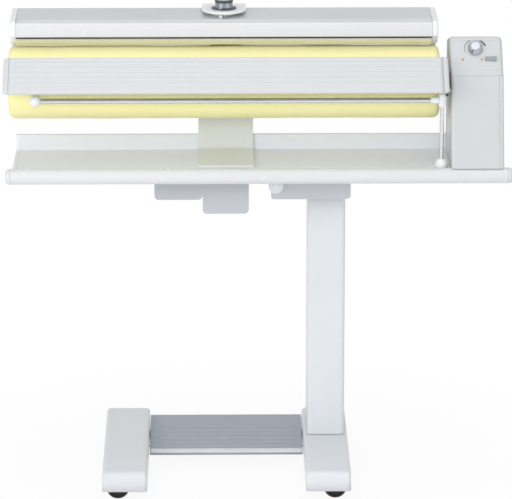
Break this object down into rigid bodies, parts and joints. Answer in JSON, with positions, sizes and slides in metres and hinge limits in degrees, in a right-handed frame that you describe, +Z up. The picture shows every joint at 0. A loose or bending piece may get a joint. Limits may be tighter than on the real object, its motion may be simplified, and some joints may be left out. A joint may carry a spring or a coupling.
{
  "type": "rotary ironer",
  "caption": "Free-standing rotary ironer: a padded roller under a heated shoe, with feed board, tray and rail on a wheeled stand with a foot pedal.",
  "frame": {"origin": "centre of the footprint box at floor level", "axes": "+X along the roller to the right as seen from the front, +Y to the back, +Z up"},
  "size_m": [0.966, 0.38, 0.959],
  "materials": {
    "stand_paint": "semi-gloss pale grey paint",
    "bracket_casting": "painted casting",
    "pedal_finish": "mid-grey paint with ribs",
    "castor_steel": "zinc plated",
    "castor_plastic": "black",
    "white_plastic": "white, fine grain",
    "unit_paint": "semi-gloss pale grey paint",
    "tube_paint": "white paint",
    "grey_plastic": "pale grey, fine grain",
    "knob_silver": "silver",
    "lamp_lens": "clear orange",
    "roller_cloth": "woven cotton",
    "roller_felt": "felt",
    "steel": "plain steel",
    "hub_plastic": "dark grey",
    "motor_paint": "dark paint",
    "belt_rubber": "black",
    "shoe_aluminium": "ground and polished",
    "chrome": "bright chrome"
  },
  "bodies": {
    "stand": {"left_foot": "stand_paint", "right_foot": "stand_paint", "cross_beam": "stand_paint", "column": "stand_paint", "head_bracket": "bracket_casting", "fold_pivot_pin": "white_plastic"},
    "pedal": {"foot_pedal": "pedal_finish"},
    "ironing_unit": {"tray": "unit_paint", "tray_end_cap": "white_plastic", "front_tube": "tube_paint", "tube_cap_left": "tube_paint", "tube_cap_right": "tube_paint", "drive_box": "unit_paint", "supply_box": "unit_paint", "arm_cover": "unit_paint", "press_motor": "motor_paint", "roller_axle": "steel", "side_frame": "steel", "gear_motor": "motor_paint", "drive_belt": "belt_rubber", "housing_shell": "grey_plastic", "housing_side_cover": "grey_plastic", "control_cap": "grey_plastic", "power_lamp": "lamp_lens", "ready_lamp": "lamp_lens", "board_hinge_pin": "steel", "board_panel": "white_plastic", "board_end_cap_left": "white_plastic", "board_end_cap_right": "white_plastic", "board_hinge_arm": "motor_paint", "post_foot": "white_plastic", "rail_post": "chrome"},
    "roller": {"roller_cover": "roller_cloth", "roller_padding": "roller_felt", "roller_drum": "steel", "roller_hub_left": "hub_plastic", "roller_hub_right": "hub_plastic"},
    "drive_pulley": {"motor_pulley": "hub_plastic"},
    "cam": {"press_cam": "steel"},
    "heater": {"heater_shoe": "shoe_aluminium", "heater_cover": "unit_paint", "heater_end_cap_left": "white_plastic", "heater_end_cap_right": "white_plastic", "heater_arm": "motor_paint", "dial_bezel": "white_plastic"},
    "guard": {"finger_guard": "tube_paint"},
    "dial": {"temperature_dial": "grey_plastic"},
    "speed_control": {"speed_knob": "knob_silver"},
    "rocker": {"power_switch": "grey_plastic"},
    "laundry_rail": {"rail_tee": "white_plastic", "rail_rod": "chrome", "rail_ball": "white_plastic"},
    "castor_front_left": {"castor_fork_front_left": "castor_steel"},
    "wheel_front_left": {"castor_wheel_front_left": "castor_plastic"},
    "castor_front_right": {"castor_fork_front_right": "castor_steel"},
    "wheel_front_right": {"castor_wheel_front_right": "castor_plastic"},
    "castor_rear_left": {"castor_fork_rear_left": "castor_steel"},
    "wheel_rear_left": {"castor_wheel_rear_left": "castor_plastic"},
    "castor_rear_right": {"castor_fork_rear_right": "castor_steel"},
    "wheel_rear_right": {"castor_wheel_rear_right": "castor_plastic"}
  },
  "joints": [
    {"name": "unit_fold", "type": "hinge", "parent": "stand", "child": "ironing_unit", "pos_m": [0.034, 0, 0.601], "axis": [0, -1, 0], "range_deg": [0, 90]},
    {"name": "pedal_press", "type": "hinge", "parent": "stand", "child": "pedal", "pos_m": [-0.0625, 0.146, 0.048], "axis": [1, 0, 0], "range_deg": [0, 8], "stiffness_Nm_per_rad": 4, "springref_deg": -17.19},
    {"name": "roller_turn", "type": "hinge", "parent": "ironing_unit", "child": "roller", "pos_m": [-0.065, -0.045, 0.806], "axis": [1, 0, 0], "continuous": true},
    {"name": "drive_pulley_turn", "type": "hinge", "parent": "ironing_unit", "child": "drive_pulley", "pos_m": [0.382, -0.076, 0.706], "axis": [1, 0, 0], "continuous": true},
    {"name": "heater_press", "type": "hinge", "parent": "ironing_unit", "child": "heater", "pos_m": [-0.065, 0.042, 0.6], "axis": [1, 0, 0], "range_deg": [0, 3]},
    {"name": "cam_turn", "type": "hinge", "parent": "ironing_unit", "child": "cam", "pos_m": [-0.06, -0.028, 0.595], "axis": [1, 0, 0], "range_deg": [0, 90]},
    {"name": "guard_tip", "type": "hinge", "parent": "heater", "child": "guard", "pos_m": [-0.065, -0.065, 0.9245], "axis": [1, 0, 0], "range_deg": [0, 8], "stiffness_Nm_per_rad": 0.6, "springref_deg": -5.73},
    {"name": "temperature_turn", "type": "hinge", "parent": "heater", "child": "dial", "pos_m": [-0.065, -0.005, 0.95], "axis": [0, 0, 1], "range_deg": [0, 270]},
    {"name": "speed_turn", "type": "hinge", "parent": "ironing_unit", "child": "speed_control", "pos_m": [0.414, -0.06221, 0.87348], "axis": [0, -0.7127, 0.7014], "range_deg": [0, 270]},
    {"name": "power_rock", "type": "hinge", "parent": "ironing_unit", "child": "rocker", "pos_m": [0.443, -0.07621, 0.85498], "axis": [0, 0.7014, 0.7127], "range_deg": [0, 12]},
    {"name": "rail_swing", "type": "hinge", "parent": "ironing_unit", "child": "laundry_rail", "pos_m": [0.348, -0.128, 0.788], "axis": [0, 0, 1], "range_deg": [0, 90]},
    {"name": "castor_front_left_swivel", "type": "hinge", "parent": "stand", "child": "castor_front_left", "pos_m": [-0.26, -0.148, 0], "axis": [0, 0, 1], "continuous": true},
    {"name": "wheel_front_left_roll", "type": "hinge", "parent": "castor_front_left", "child": "wheel_front_left", "pos_m": [-0.274, -0.148, 0.022], "axis": [0, 1, 0], "continuous": true},
    {"name": "castor_front_right_swivel", "type": "hinge", "parent": "stand", "child": "castor_front_right", "pos_m": [0.135, -0.148, 0], "axis": [0, 0, 1], "continuous": true},
    {"name": "wheel_front_right_roll", "type": "hinge", "parent": "castor_front_right", "child": "wheel_front_right", "pos_m": [0.149, -0.148, 0.022], "axis": [0, 1, 0], "continuous": true},
    {"name": "castor_rear_left_swivel", "type": "hinge", "parent": "stand", "child": "castor_rear_left", "pos_m": [-0.26, 0.148, 0], "axis": [0, 0, 1], "continuous": true},
    {"name": "wheel_rear_left_roll", "type": "hinge", "parent": "castor_rear_left", "child": "wheel_rear_left", "pos_m": [-0.274, 0.148, 0.022], "axis": [0, 1, 0], "continuous": true},
    {"name": "castor_rear_right_swivel", "type": "hinge", "parent": "stand", "child": "castor_rear_right", "pos_m": [0.135, 0.148, 0], "axis": [0, 0, 1], "continuous": true},
    {"name": "wheel_rear_right_roll", "type": "hinge", "parent": "castor_rear_right", "child": "wheel_rear_right", "pos_m": [0.149, 0.148, 0.022], "axis": [0, 1, 0], "continuous": true}
  ],
  "couplings": [
    {"joint": "drive_pulley_turn", "follows": "roller_turn", "ratio": 3.3333},
    {"joint": "cam_turn", "follows": "heater_press", "ratio": 30}
  ]
}
